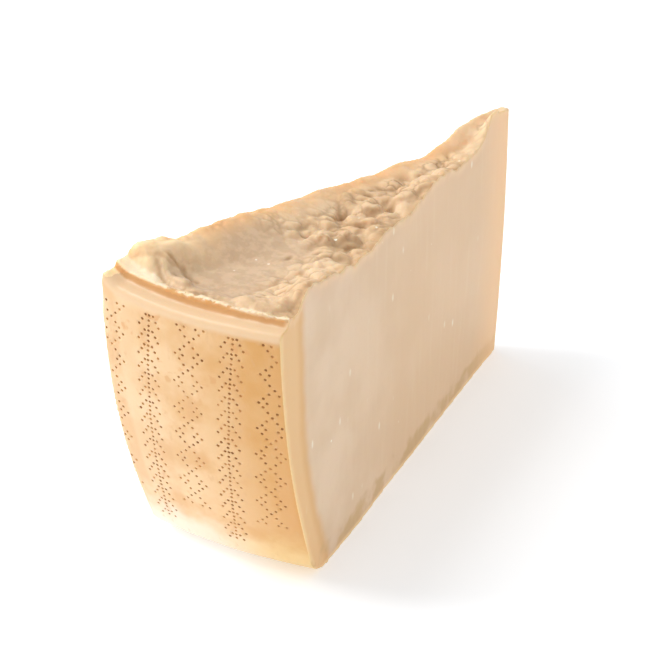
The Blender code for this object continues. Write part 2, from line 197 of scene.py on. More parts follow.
# Zones of the cut sides
ZONE_DEPTH, ZONE_WIDENS = 0.0135, 0.0045       # the dry zone under the rind
BAND_HEIGHT = 0.0030
LEDGE_BAND = 0.0035          # the cream of the ledge reaches this far down the rind
TIP_FLOOR = 0.1020           # the broken top lies higher than this
# How far the painted glows reach from the left side and on the lump, how far the darker tone reaches from the
# right side, and how far the painted glow reaches under the top
LEFT_GLOW, LUMP_GLOW, RIGHT_CRUMB, TOP_GLOW = 0.0120, 0.0220, 0.0060, 0.0045

# Light
FLOOR_SIZE = 4.0
FLOOR_GLOW = 0.31
LIT_POINT = Vector((0.0, 0.0, 0.05))
KEY_PLACE, KEY_SIZE, KEY_POWER = Vector((-0.74, -0.40, 1.29)), (0.50, 1.0), 12.8
RIM_PLACE, RIM_SIZE, RIM_POWER = Vector((-1.10, 0.10, 0.50)), (0.8, 0.8), 3.5
SKY_LOW, SKY_HIGH = 0.92, 0.48

# Camera, fitted to the photograph
LENS_PIXELS = 3010.0         # focal length in pixels of the 670 pixel frame
FRAME_PIXELS = 670.0
SENSOR = 36.0
VIEW_AZIMUTH = math.radians(28.48)
VIEW_ELEVATION = math.radians(31.22)
VIEW_DISTANCE = 1.1690
VIEW_ASIDE, VIEW_UP = -0.0023, -0.0077
VIEW_CENTRE = (0.0, -0.0900, 0.0600)           # from the axis of the wheel


def smooth(value):
    value = min(max(value, 0.0), 1.0)
    return value * value * (3.0 - 2.0 * value)


def mix(low, high, share):
    return low + (high - low) * share


def along(profile, way):
    """Height of a profile at a way from the rind, eased between its points."""
    for (way_0, height_0), (way_1, height_1) in zip(profile, profile[1:]):
        if way <= way_1:
            return mix(height_0, height_1, smooth((way - way_0) / (way_1 - way_0)))
    return profile[-1][1]


def barrel_radius(height):
    share = min(max(height / RIND_HEIGHT, 0.0), 1.0)
    radius = WHEEL_RADIUS - BARREL_DEPTH * (1.0 - share) ** BARREL_POWER
    if height < BASE_ROUND:
        above_base = max(height / BASE_ROUND, 0.0)
        radius -= BASE_ROUND * (1.0 - math.sqrt(1.0 - (1.0 - above_base) ** 2))
    return radius


def wheel_profile():
    """Half section of the halved wheel, from the axis along the base and up the rind to the top."""
    heights = [BASE_ROUND * (1.0 - math.cos(step * math.pi / 2 / ROUND_STEPS)) for step in range(ROUND_STEPS)]
    for step in range(BARREL_STEPS + 1):
        heights.append(mix(BASE_ROUND, LEDGE_HEIGHT - EDGE_ROUND, step / BARREL_STEPS))
    points = [(0.0, 0.0)] + [(barrel_radius(height), height) for height in heights]
    edge_radius = points[-1][0] - EDGE_ROUND
    for step in range(1, EDGE_STEPS + 1):
        turned = step / EDGE_STEPS * math.pi / 2
        points.append((edge_radius + EDGE_ROUND * math.cos(turned),
                       LEDGE_HEIGHT - EDGE_ROUND + EDGE_ROUND * math.sin(turned)))
    ledge_end = WHEEL_RADIUS - LEDGE_DEPTH
    points.append((ledge_end, LEDGE_HEIGHT))
    points.append((ledge_end - 0.0003, BLANK_HEIGHT - 0.0008))
    points.append((ledge_end - 0.0012, BLANK_HEIGHT))
    points.append((0.0, BLANK_HEIGHT))
    return points


def turn_wheel():
    """The half wheel, turned from its section."""
    bm = bmesh.new()
    verts = [bm.verts.new((0.0, -radius, height)) for radius, height in wheel_profile()]
    edges = [bm.edges.new(pair) for pair in zip(verts, verts[1:])]
    bmesh.ops.spin(bm, geom=verts + edges, cent=(0, 0, 0), axis=(0, 0, 1), angle=math.tau,
                   steps=TURN_STEPS, use_merge=True)
    bmesh.ops.remove_doubles(bm, verts=bm.verts, dist=1e-6)
    bmesh.ops.recalc_face_normals(bm, faces=bm.faces)
    return bm


def cut(bm, point, normal):
    """Cuts away all that lies in front of a plane and closes the cut."""
    geometry = bm.verts[:] + bm.edges[:] + bm.faces[:]
    result = bmesh.ops.bisect_plane(bm, geom=geometry, plane_co=point, plane_no=normal, clear_outer=True)
    rim = [item for item in result["geom_cut"] if isinstance(item, bmesh.types.BMEdge)]
    bmesh.ops.holes_fill(bm, edges=rim)


def corner(side):
    """Top corner of a cut on the rind: side is -1 on the left, 1 on the right."""
    return Vector((side * WHEEL_RADIUS * math.sin(HALF_ANGLE), -WHEEL_RADIUS * math.cos(HALF_ANGLE),
                   RIND_HEIGHT))


def tip(side):
    return Vector((TIP_X + side * TIP_WIDTH / 2, TIP_Y, RIND_HEIGHT))


def outwards(side):
    """Direction square to a cut side, out of the cheese; the left side slants."""
    way = tip(side) - corner(side)
    direction = Vector((way.y, -way.x, 0.0)).normalized() * side
    if side < 0:
        direction.z = LEFT_FLARE / RIND_HEIGHT
    return direction.normalized()


def cut_out(bm, margin):
    """Cuts the two sides and the tip, all of them this far outside the wedge."""
    for side in (-1, 1):
        cut(bm, corner(side) + outwards(side) * margin, outwards(side))
    cut(bm, (TIP_X, TIP_Y + margin, 0.0), (0.15, 1.0, 0.0))
    bmesh.ops.recalc_face_normals(bm, faces=bm.faces)


def place_on_top(x, y):
    """Way from the rind to the tip, and across from the left side to the right, both 0 to 1."""
    front = corner(1).y
    way = (y - front) / (TIP_Y - front)
    left = mix(corner(-1).x, tip(-1).x, way)
    right = mix(corner(1).x, tip(1).x, way)
    return way, (x - left) / (right - left)


def behind_riser(x, y):
    """How far a place lies behind the riser of the ledge."""
    return WHEEL_RADIUS - LEDGE_DEPTH - math.hypot(x, y)


def wheel_turn(x, y):
    """Place round the wheel: -1 at the left side of the rind, 1 at its right side."""
    return math.atan2(x, -y) / HALF_ANGLE


def bowl_share(way, across):
    """1 in the smooth bowl behind the lip, 0 outside it."""
    share = smooth((way - BOWL_START) / 0.03) * smooth((BOWL_END - way) / 0.08)
    return share * smooth((0.78 - across) / 0.25) * smooth((across - 0.02) / 0.10)


def crag_share(way, across):
    """How craggy the break is: smooth in the bowl and along the left side, rough elsewhere."""
    left_slab = smooth((0.38 - across) / 0.16) * smooth((way - 0.30) / 0.10)
    width = 2.0 * corner(1).x * (1.0 - way)
    near_side = mix(0.25, 1.0, smooth(across * width / CRAG_EDGE))
    near_side *= mix(0.50, 1.0, smooth((1.0 - across) * width / CRAG_EDGE))
    return near_side * (1.0 - 0.94 * bowl_share(way, across)) * (1.0 - 0.80 * left_slab)


def lump_share(x, y):
    """1 on the crumbling lump behind the left end of the ledge, 0 away from it."""
    return smooth((-0.168 - y) / 0.010) * smooth((-0.004 - x) / 0.010)


def crag_cell(x, y, size):
    """Distances to the nearest lumps of a size and their middles, in units of that size."""
    place = Vector((x / (size * CRAG_LENGTH), y / size, 3.7))
    place += noise.noise_vector(place * 1.3) * CRAG_WARP
    distances, centres = noise.voronoi(place)
    return distances, [place - centres[0], centres[0]]


def crag_height(x, y, crags):
    """Tilted lumps with clefts between them, in some sizes."""
    height = 0.0
    for size, stand, dome, cleft in crags:
        distances, (offset, centre) = crag_cell(x, y, size)
        lean = noise.noise_vector(centre * 5.3 + Vector((0.0, 0.0, 9.1)))
        height += stand * (0.9 * lean.z + 0.5 * (lean.x * offset.x + lean.y * offset.y))
        height += dome * (0.6 - offset.length_squared)
        height -= cleft * (1.0 - smooth((distances[1] - distances[0]) / 0.25))
    return height


def form_reach(x, y, form):
    """0 outside a form, 1 on its flat."""
    middle_x, middle_y, length, width, turn, rise_share = form[:6]
    away = Vector((x - middle_x, y - middle_y, 0.0))
    if away.length > max(length, width):
        return 0.0
    direction = Vector((math.cos(math.radians(turn)), math.sin(math.radians(turn)), 0.0))
    reach = math.hypot(away.dot(direction) / length, away.cross(direction).z / width)
    return smooth((1.0 - reach) / rise_share)


def crease_reach(x, y):
    """1 in the middle of a crease, 0 outside them all."""
    place = Vector((x, y, 0.0)) + noise.noise_vector(Vector((x, y, 0.7)) / 0.003) * 0.0009
    place.z = 0.0
    reach = 0.0
    for line in CREASES:
        for start, end in zip(line, line[1:]):
            start, end = Vector((*start, 0.0)), Vector((*end, 0.0))
            nearest, share = intersect_point_line(place, start, end)
            nearest = start if share < 0.0 else (end if share > 1.0 else nearest)
            reach = max(reach, 1.0 - smooth((place - nearest).length / CREASE_WIDTH))
    return reach


def top_height(x, y):
    """Height of the break: its three profiles, eased into each other, and the crags."""
    way, across = place_on_top(x, y)
    behind_lump = smooth((way - 0.14) / 0.10)
    left_reach, left_slope = mix(0.27, 0.45, behind_lump), mix(0.16, 0.45, behind_lump)
    right_reach = mix(0.26, 0.50, smooth((way - 0.14) / 0.12))
    on_left = smooth((left_reach - across) / left_slope)
    height = mix(along(TOP_MIDDLE, way), along(TOP_LEFT, way), on_left)
    height = mix(height, along(TOP_RIGHT, way), smooth(1.0 - (1.0 - across) / right_reach))
    tip_fade = smooth((1.03 - way) / 0.10)
    height += sum(form[-1] * form_reach(x, y, form) for form in FORMS)
    behind = behind_riser(x, y)
    turn = wheel_turn(x, y)
    height = mix(along(LIP, turn), height, smooth((behind - lip_width(turn)) / 0.0045))
    lip_fade = smooth(behind / 0.010)
    share = crag_share(way, across) * tip_fade
    coarse = crag_height(x, y, CRAGS) * mix(0.25, 1.0, lip_fade)
    creases = CREASE_DEPTH * crease_reach(x, y) if x < 0.0 else 0.0
    return height + (coarse + crag_height(x, y, FINE_CRAGS)) * share - creases


def lip_width(turn):
    """Width of the flat lip behind the ledge: a narrow crumbling edge, and a wider facet at the left."""
    return mix(LIP_WIDTH, FACET_WIDTH, smooth((-0.30 - turn) / 0.25))


def ledge_lift(x, y, z):
    """How far the hand-cut ledge and the edge below it climb towards the left side."""
    leftwards = max(-wheel_turn(x, y), 0.0)
    lift = LEDGE_LIFT * leftwards ** LEDGE_LIFT_POWER + END_LIFT * smooth((leftwards - 0.80) / 0.22)
    return lift * smooth((z - LEDGE_HEIGHT + 0.012) / 0.010)


def break_top(bm):
    """Lifts the ledge at the left, and lifts and lowers the flat top behind it to the rough break."""
    for vert in bm.verts:
        x, y, z = vert.co
        behind_ledge = smooth(behind_riser(x, y) / 0.0020)
        vert.co.z += ledge_lift(x, y, z) * (1.0 - behind_ledge)
        if z > LEDGE_HEIGHT and behind_ledge > 0.0:
            share = smooth((z - LEDGE_HEIGHT) / (LIP_HEIGHT - BLOCK_VOXEL)) * behind_ledge
            vert.co.z += (top_height(x, y) - BLANK_HEIGHT) * share


def remesh(piece, voxel):
    """Gives the piece an even skin of small faces."""
    modifier = piece.modifiers.new("Even mesh", 'REMESH')
    modifier.mode = 'VOXEL'
    modifier.voxel_size = voxel
    apply_modifiers(piece)


def apply_modifiers(piece):
    """Makes the shape that the modifiers give the piece's own mesh."""
    evaluated = piece.evaluated_get(bpy.context.evaluated_depsgraph_get())
    mesh = bpy.data.meshes.new_from_object(evaluated)
    piece.modifiers.clear()
    piece.data = mesh


class Reshape:
    """Opens a piece's mesh for bmesh work and writes it back."""

    def __init__(self, piece):
        self.piece = piece

    def __enter__(self):
        self.bm = bmesh.new()
        self.bm.from_mesh(self.piece.data)
        return self.bm

    def __exit__(self, kind, value, trace):
        self.bm.to_mesh(self.piece.data)
        self.bm.free()


def side_gap(place, side):
    """How deep a point lies behind a cut side."""
    return (corner(side) - place).dot(outwards(side))


def surface_kind(place):
    """Which surface a point of the unbent wedge lies on: side, base, rind, ledge or break."""
    radius = math.hypot(place.x, place.y)
    if min(side_gap(place, -1), side_gap(place, 1), TIP_Y - place.y) < SIDE_SKIN:
        return "side"
    if place.z < BASE_SNAP:
        return "base"
    if barrel_radius(place.z) - radius < 0.0008 or (radius > WHEEL_RADIUS - EDGE_ROUND * 1.5
                                                    and place.z < BLANK_HEIGHT):
        return "rind"
    if radius > WHEEL_RADIUS - LEDGE_DEPTH - 0.0002 and place.z < BLANK_HEIGHT:
        return "ledge"
    return "break"


def break_relief(place):
    """Grains all over the break, and crumbs along its lip and its sides."""
    grain = noise.noise(place / GRAIN_SIZES[0]) + 0.6 * noise.noise(place / GRAIN_SIZES[1])
    rough = max(crag_share(*place_on_top(place.x, place.y)), lump_share(place.x, place.y))
    rise = CRUMB * grain * mix(0.35, 1.0, rough)
    behind = behind_riser(place.x, place.y)
    on_lip = smooth(behind / 0.0008) * smooth((0.0042 - behind) / 0.0015)
    rise += LIP_CRUMB * on_lip * smooth((place.x + 0.018) / 0.008) * noise.noise(place / LIP_CRUMB_SIZE)
    gap = min(side_gap(place, -1), side_gap(place, 1))
    at_side = smooth((EDGE_CRUMB_REACH - gap) / 0.0030)
    return rise + EDGE_CRUMB * at_side * noise.noise(place / EDGE_CRUMB_SIZE)


def side_relief(place):
    """Faint upright streaks of the wire, and fine grains."""
    streak = noise.noise(Vector([value / size for value, size in zip(place, STREAK_SIZE)]))
    return CUT_STREAK * (streak + 0.5 * noise.noise(place / STREAK_GRAIN))


def rind_relief(place):
    """Soft waves, each finer set of them lower than the one before."""
    wide, narrow, fine = WAVE_SIZES
    rise = RIND_WAVE * noise.noise(place / wide) + 0.3 * RIND_WAVE * noise.noise(place / narrow)
    return rise + 0.08 * RIND_WAVE * noise.noise(place / fine)


def fine_relief(bm):
    """Moves the skin out and in by the relief of the surface that it belongs to; the base stays flat."""
    reliefs = {"break": break_relief, "side": side_relief, "rind": rind_relief, "ledge": rind_relief}
    bm.normal_update()
    for vert in bm.verts:
        kind = surface_kind(vert.co)
        if kind != "base":
            vert.co += vert.normal * reliefs[kind](vert.co)


def bend_sides(bm):
    """The tip leans, and the cuts wander a little."""
    for vert in bm.verts:
        x, y, z = vert.co
        vert.co.x += TIP_LEAN * smooth(place_on_top(x, y)[0]) * (z / RIND_HEIGHT - TIP_STEADY)
        vert.co.x += TIP_BOW * smooth(place_on_top(x, y)[0]) * math.sin(math.pi * z / RIND_HEIGHT)
        vert.co.x += CUT_WAVE * noise.noise(Vector((0.0, y / 0.030, z / 0.055)))


def thin_out(piece, triangles):
    modifier = piece.modifiers.new("Fewer triangles", 'DECIMATE')
    count = sum(len(polygon.vertices) - 2 for polygon in piece.data.polygons)
    modifier.ratio = min(1.0, triangles / count)
    apply_modifiers(piece)


def lozenge_row(down):
    """Places of the dots across a chain of lozenges, this far down the column."""
    share = (down / LOZENGE) % 1.0
    swing = abs(2.0 * share - 1.0) * COLUMN_WIDTH / 2
    inner = swing - INNER_LOZENGE
    dots = [swing, -swing] if swing > PRICK_RADIUS * 1.6 else [0.0]
    return dots + ([inner, -inner] if inner > PRICK_RADIUS else [])


def barb_row(down):
    """Places of the dots across an ear of barbs, this far down the column."""
    swing = mix(BARB_START, COLUMN_WIDTH / 2, (down / BARB) % 1.0)
    return [0.0, swing, -swing]


def prick_places():
    """Places on the barrel of all the dots, and the direction out of the rind at each."""
    places = []
    for number in COLUMNS:
        if number % 2 == 0:
            foot, row_pitch, dots_of_row = SHORT_FOOT, LOZENGE / LOZENGE_ROWS, lozenge_row
        else:
            foot, row_pitch, dots_of_row = LONG_FOOT, BARB / BARB_ROWS, barb_row
        for row in range(int((COLUMN_TOP - foot) / row_pitch) + 1):
            down = row * row_pitch
            for aside in dots_of_row(down + 1e-5):
                places.append(prick_at(number, aside, COLUMN_TOP - down, len(places)))
    return places


def prick_at(number, aside, height, seed):
    wobble = noise.noise_vector(Vector((seed * 0.731, 2.3, 7.9))) * PRICK_WOBBLE
    height += wobble.z
    radius = barrel_radius(height)
    angle = number * COLUMN_PITCH + COLUMN_LEAN * (height - 0.100)
    angle += (aside + wobble.x) / radius
    slope = (barrel_radius(height + 0.001) - barrel_radius(height - 0.001)) / 0.002
    out = Vector((math.sin(angle), -math.cos(angle), -slope)).normalized()
    return Vector((radius * math.sin(angle), -radius * math.cos(angle), height)), out


def prick_rind(piece, places):
    """Presses the dots into the rind with a bed of small blunt pins."""
    bm = bmesh.new()
    for place, out in places:
        if min(side_gap(place, -1), side_gap(place, 1)) < PRICK_RADIUS * 1.6:
            continue
        turn = out.to_track_quat('Z', 'Y').to_matrix().to_4x4()
        matrix = Matrix.Translation(place + out * (PRICK_DEPTH * 0.1)) @ turn
        bmesh.ops.create_cone(bm, cap_ends=True, cap_tris=False, segments=PRICK_SIDES,
                              radius1=PRICK_RADIUS * 0.45, radius2=PRICK_RADIUS * 1.15,
                              depth=PRICK_DEPTH * 2, matrix=matrix)
    mesh = bpy.data.meshes.new("pins")
    bm.to_mesh(mesh)
    bm.free()
    mesh.materials.append(piece.data.materials["pricks"])
    pins = bpy.data.objects.new("pins", mesh)
    bpy.context.scene.collection.objects.link(pins)
    modifier = piece.modifiers.new("Pricks", 'BOOLEAN')
    modifier.operation = 'DIFFERENCE'
    modifier.material_mode = 'TRANSFER'
    modifier.object = pins
    apply_modifiers(piece)
    bpy.data.objects.remove(pins, do_unlink=True)
    bpy.data.meshes.remove(mesh)


def share_out_faces(piece):
    """Gives each face the material of the surface that it lies on."""
    slots = {"side": 1, "base": 0, "rind": 0, "ledge": 0, "break": 2}
    for face in piece.data.polygons:
        face.material_index = slots[surface_kind(face.center)]


def ledge_values(place):
    """How much a point belongs to the cream ledge, to its riser and to the lip behind it."""
    x, y, z = place
    inwards = WHEEL_RADIUS - math.hypot(x, y)
    behind = inwards - LEDGE_DEPTH
    turn = wheel_turn(x, y)
    shelf = LEDGE_HEIGHT + ledge_lift(x, y, LEDGE_HEIGHT)
    at_riser = smooth((behind + 0.0013) / 0.0006) * smooth((0.0022 - behind) / 0.0006)
    above_shelf = smooth((z - shelf + 0.0003) / 0.0004)
    below_lip = smooth((along(LIP, turn) - 0.0001 - z) / 0.0006)
    ends = smooth((1.02 - abs(turn)) / 0.06)
    ledge = smooth((z - shelf + LEDGE_BAND + 0.0012) / 0.0024) * smooth((0.0012 - behind) / 0.0012)
    on_lip = smooth((behind - 0.0004) / 0.0006) * smooth((lip_width(turn) + 0.0016 - behind) / 0.0012)
    return {"riser": at_riser * above_shelf * below_lip * ends,
            "ledge": ledge,
            "lip": on_lip * smooth((z - shelf - 0.0015) / 0.0010)}


def edge_values(place):
    """How near a point of the break lies to a side, and a point of a side to the break."""
    gaps = side_gap(place, -1), side_gap(place, 1)
    reach = mix(LEFT_GLOW, LUMP_GLOW, smooth((-0.150 - place.y) / 0.020))
    below_top = TOP_GLOW
    if place.z > TIP_FLOOR and min(gaps) < 2 * SIDE_SKIN:
        below_top = top_height(place.x, place.y) - place.z
    return {"left_edge": 1.0 - smooth(gaps[0] / reach),
            "right_edge": 1.0 - smooth(gaps[1] / RIGHT_CRUMB),
            "near_top": 1.0 - smooth(below_top / TOP_GLOW)}


def break_values(place):
    """How much a point belongs to the bowl, and how much painted shade of the clefts it gets."""
    on_top = place.z > TIP_FLOOR and behind_riser(place.x, place.y) > 0.0
    return {"bowl": bowl_share(*place_on_top(place.x, place.y)),
            "cleft": cleft_shade(place.x, place.y) if on_top else 0.0}


def mark_surface(piece):
    """Attributes that the materials read."""
    mesh = piece.data
    marks = [ledge_values(vert.co) | edge_values(vert.co) | break_values(vert.co) for vert in mesh.vertices]
    for name in marks[0]:
        layer = mesh.attributes.new(name, 'FLOAT', 'POINT')
        layer.data.foreach_set("value", [mark[name] for mark in marks])


def cleft_shade(x, y):
    """Painted shade: 0 on the faces of the crags, 1 at the bottom of the clefts between them, in the hollows
    and creases, and a little on the flanks of the raised forms.
    """
    depth = 0.0
    for size in [crags[0] for crags in CRAGS]:
        nearest, second = crag_cell(x, y, size)[0][:2]
        depth = max(depth, 1.0 - smooth((second - nearest) / 0.20))
    depth *= crag_share(*place_on_top(x, y)) * smooth(0.55 + noise.noise(Vector((x, y, 0.4)) / 0.012))
    for form in FORMS:
        reach = form_reach(x, y, form)
        depth = max(depth, reach) if form[-1] < 0.0 else max(depth, 1.4 * reach * (1.0 - reach))
    if x < 0.0:
        depth = max(depth, 0.60 * crease_reach(x, y))
    return min(depth, 1.0)


def wedge_shift(verts):
    low = [min(vert.co[axis] for vert in verts) for axis in (0, 1)]
    high = [max(vert.co[axis] for vert in verts) for axis in (0, 1)]
    return Vector((-(low[0] + high[0]) / 2, -(low[1] + high[1]) / 2, 0.0))


def make_wedge():
    wedge = bpy.data.objects.new("wedge", bpy.data.meshes.new("wedge"))
    bpy.context.scene.collection.objects.link(wedge)
    bm = turn_wheel()
    cut_out(bm, CUT_MARGIN)
    bm.to_mesh(wedge.data)
    bm.free()
    remesh(wedge, BLOCK_VOXEL)
    with Reshape(wedge) as bm:
        break_top(bm)
    remesh(wedge, BREAK_VOXEL)
    with Reshape(wedge) as bm:
        cut_out(bm, 0.0)
    remesh(wedge, SKIN_VOXEL)
    with Reshape(wedge) as bm:
        fine_relief(bm)
    thin_out(wedge, TRIANGLES)
    return wedge


def finish_wedge(wedge):
    """Dots, attributes and bend; gives the shift from the wheel's axis to the part's origin."""
    with Reshape(wedge) as bm:
        for side in (-1, 1):
            bmesh.ops.bisect_plane(bm, geom=bm.verts[:] + bm.edges[:] + bm.faces[:],
                                   plane_co=corner(side) - outwards(side) * SIDE_SKIN,
                                   plane_no=outwards(side))
    share_out_faces(wedge)
    prick_rind(wedge, prick_places())
    mark_surface(wedge)
    with Reshape(wedge) as bm:
        bend_sides(bm)
        for vert in bm.verts:
            vert.co.z = 0.0 if vert.co.z < BASE_SNAP else min(vert.co.z, TOP_LIMIT)
    shift = wedge_shift(wedge.data.vertices)
    wedge.data.transform(Matrix.Translation(shift))
    wedge.data.shade_smooth()
    pricks = wedge.data.materials.find("pricks")
    for face in wedge.data.polygons:
        face.use_smooth = face.material_index != pricks
    return shift


class Shader:
    """A material, with short names for its nodes. Places are metres from the axis of the wheel."""

    def __init__(self, name):
        self.material = bpy.data.materials.new(name)
        self.material.use_nodes = True
        self.tree = self.material.node_tree
        self.surface = self.tree.nodes["Principled BSDF"]
        coordinates = self.tree.nodes.new("ShaderNodeTexCoord")
        self.place = self.vector('ADD', coordinates.outputs["Object"], WHEEL_AXIS)
        split = self.tree.nodes.new("ShaderNodeSeparateXYZ")
        self.put(split.inputs[0], self.place)
        self.x, self.y, self.z = split.outputs

    def put(self, socket, value):
        if isinstance(value, bpy.types.NodeSocket):
            self.tree.links.new(value, socket)
        else:
            socket.default_value = value

    def math(self, operation, *values):
        node = self.tree.nodes.new("ShaderNodeMath")
        node.operation = operation
        for socket, value in zip(node.inputs, values):
            self.put(socket, value)
        return node.outputs[0]

    def vector(self, operation, first, second):
        node = self.tree.nodes.new("ShaderNodeVectorMath")
        node.operation = operation
        self.put(node.inputs[0], first)
        self.put(node.inputs[1], second)
        return node.outputs[0]

    def ease(self, value, start, end, top=1.0):
        """0 at the start and the top value at the end, eased between them."""
        node = self.tree.nodes.new("ShaderNodeMapRange")
        node.interpolation_type = 'SMOOTHSTEP'
        for socket, number in zip(node.inputs, (value, start, end, 0.0, top)):
            self.put(socket, number)
        return node.outputs[0]

    def times(self, *values):
        product = values[0]
        for value in values[1:]:
            product = self.math('MULTIPLY', product, value)
        return product

    def noise(self, size, detail=2.0, stretch=(1.0, 1.0, 1.0), roughness=0.5):
        """Cloudy values around one half, whose clouds are this large."""
        node = self.tree.nodes.new("ShaderNodeTexNoise")
        scale = tuple(1.0 / (size * length) for length in stretch)
        self.put(node.inputs["Vector"], self.vector('MULTIPLY', self.place, scale))
        self.put(node.inputs["Scale"], 1.0)
        self.put(node.inputs["Detail"], detail)
        self.put(node.inputs["Roughness"], roughness)
        return node.outputs["Fac"]

    def cells(self, size, stretch=(1.0, 1.0, 1.0)):
        """Distance from the middle of a cell of this size."""
        node = self.tree.nodes.new("ShaderNodeTexVoronoi")
        scale = tuple(1.0 / (size * length) for length in stretch)
        self.put(node.inputs["Vector"], self.vector('MULTIPLY', self.place, scale))
        self.put(node.inputs["Scale"], 1.0)
        return node.outputs["Distance"]

    def attribute(self, name):
        node = self.tree.nodes.new("ShaderNodeAttribute")
        node.attribute_name = name
        return node.outputs["Fac"]

    def blend(self, share, first, second):
        """The first colour where the share is 0, the second where it is 1."""
        node = self.tree.nodes.new("ShaderNodeMix")
        node.data_type = 'RGBA'
        self.put(node.inputs[0], share)
        for socket, color in ((node.inputs[6], first), (node.inputs[7], second)):
            self.put(socket, (*color, 1.0) if isinstance(color, tuple) else color)
        return node.outputs[2]

    def relief(self, height, distance, strength):
        node = self.tree.nodes.new("ShaderNodeBump")
        self.put(node.inputs["Height"], height)
        self.put(node.inputs["Distance"], distance)
        self.put(node.inputs["Strength"], strength)
        self.put(self.surface.inputs["Normal"], node.outputs[0])

    def finish(self, color, roughness, gloss, glow, glow_depth):
        """Puts the finish on the surface: gloss is its specular level, glow the light let through."""
        self.put(self.surface.inputs["Base Color"], color)
        self.put(self.surface.inputs["Roughness"], roughness)
        self.surface.inputs["Specular IOR Level"].default_value = gloss
        self.surface.inputs["Subsurface Weight"].default_value = glow
        self.surface.inputs["Subsurface Radius"].default_value = (1.0, 0.55, 0.25)
        self.surface.inputs["Subsurface Scale"].default_value = glow_depth
        return self.material


def under_rind(shader):
    """How deep a point lies under the skin of the barrel."""
    radius = shader.math('SQRT', shader.math('ADD', shader.times(shader.x, shader.x),
                                             shader.times(shader.y, shader.y)))
    share = shader.math('SUBTRACT', 1.0, shader.math('DIVIDE', shader.z, RIND_HEIGHT))
    drawn_in = shader.times(shader.math('POWER', shader.math('MAXIMUM', share, 0.0), BARREL_POWER),
                            BARREL_DEPTH)
    return shader.math('SUBTRACT', shader.math('SUBTRACT', WHEEL_RADIUS, drawn_in), radius)


def rind_material():
    shader = Shader("rind")
    mottle = shader.noise(0.020, detail=4.0)
    color = shader.blend(shader.ease(mottle, 0.36, 0.62), RIND_GOLD, RIND_PALE)
    # Paler towards the left side and deeper orange towards the right. This is partly the rind's own tone,
    # partly painted light on the left, where the lamp falls, and painted shade on the right, which turns away
    # from it.
    color = shader.blend(shader.ease(shader.x, 0.005, -0.040, 0.7), color, RIND_LEFT_PALE_AND_LIT)
    color = shader.blend(shader.ease(shader.x, -0.010, 0.040, 0.8), color, RIND_RIGHT_ORANGE_AND_SHADED)
    turn = shader.math('ARCTAN2', shader.x, shader.times(shader.y, -1.0))
    columns = shader.math('COSINE', shader.times(turn, math.tau / COLUMN_PITCH))
    stain = shader.times(shader.ease(columns, -0.2, 0.9, 0.45), shader.ease(mottle, 0.62, 0.42))
    color = shader.blend(shader.times(stain, shader.ease(shader.z, 0.012, 0.030)), color, RIND_STAIN)
    patches = shader.noise(0.011, detail=5.0)
    # Whiter towards the rounded foot of the rind, white at the left and yellow at the right: painted
    # highlight and painted bounce light from the floor.
    foot_light = shader.blend(shader.ease(shader.x, -0.012, 0.026), RIND_FOOT_LIGHT_WHITE, RIND_FOOT_LIGHT_YELLOW)
    foot = shader.math('ADD', shader.z, shader.times(shader.math('SUBTRACT', patches, 0.5), 0.022))
    color = shader.blend(shader.ease(foot, 0.026, 0.008, 0.9), color, foot_light)
    scuffs = shader.noise(0.0035, detail=3.0, stretch=(1.0, 1.0, 2.5))
    color = shader.blend(shader.ease(scuffs, 0.60, 0.75, 0.4), color, RIND_SCUFF)
    rust = shader.times(shader.ease(shader.noise(0.0065, detail=3.0), 0.60, 0.70, 0.6),
                        shader.ease(shader.z, 0.050, 0.105))
    color = shader.blend(rust, color, RIND_RUST)
    color = shader.blend(shader.attribute("ledge"), color, LEDGE_CREAM)
    # The riser of the ledge: the orange section of the rind, darkened with painted shade.
    riser = shader.blend(mottle, RISER_SHADED_DARK, RISER_SHADED_ORANGE)
    color = shader.blend(shader.attribute("riser"), color, riser)
    shader.relief(shader.noise(0.0012, detail=4.0), 0.00025, 0.35)
    roughness = shader.ease(patches, 0.30, 0.70)
    roughness = shader.math('ADD', shader.times(roughness, 0.12), 0.40)
    shader.surface.inputs["Coat Weight"].default_value = 0.25
    shader.surface.inputs["Coat Roughness"].default_value = 0.22
    return shader.finish(color, roughness, gloss=0.35, glow=0.15, glow_depth=0.004)


def prick_material():
    shader = Shader("pricks")
    color = shader.blend(shader.ease(shader.noise(0.005, detail=3.0), 0.35, 0.65), PRICK_BROWN, PRICK_DARK)
    return shader.finish(color, 0.8, gloss=0.0, glow=0.0, glow_depth=0.001)


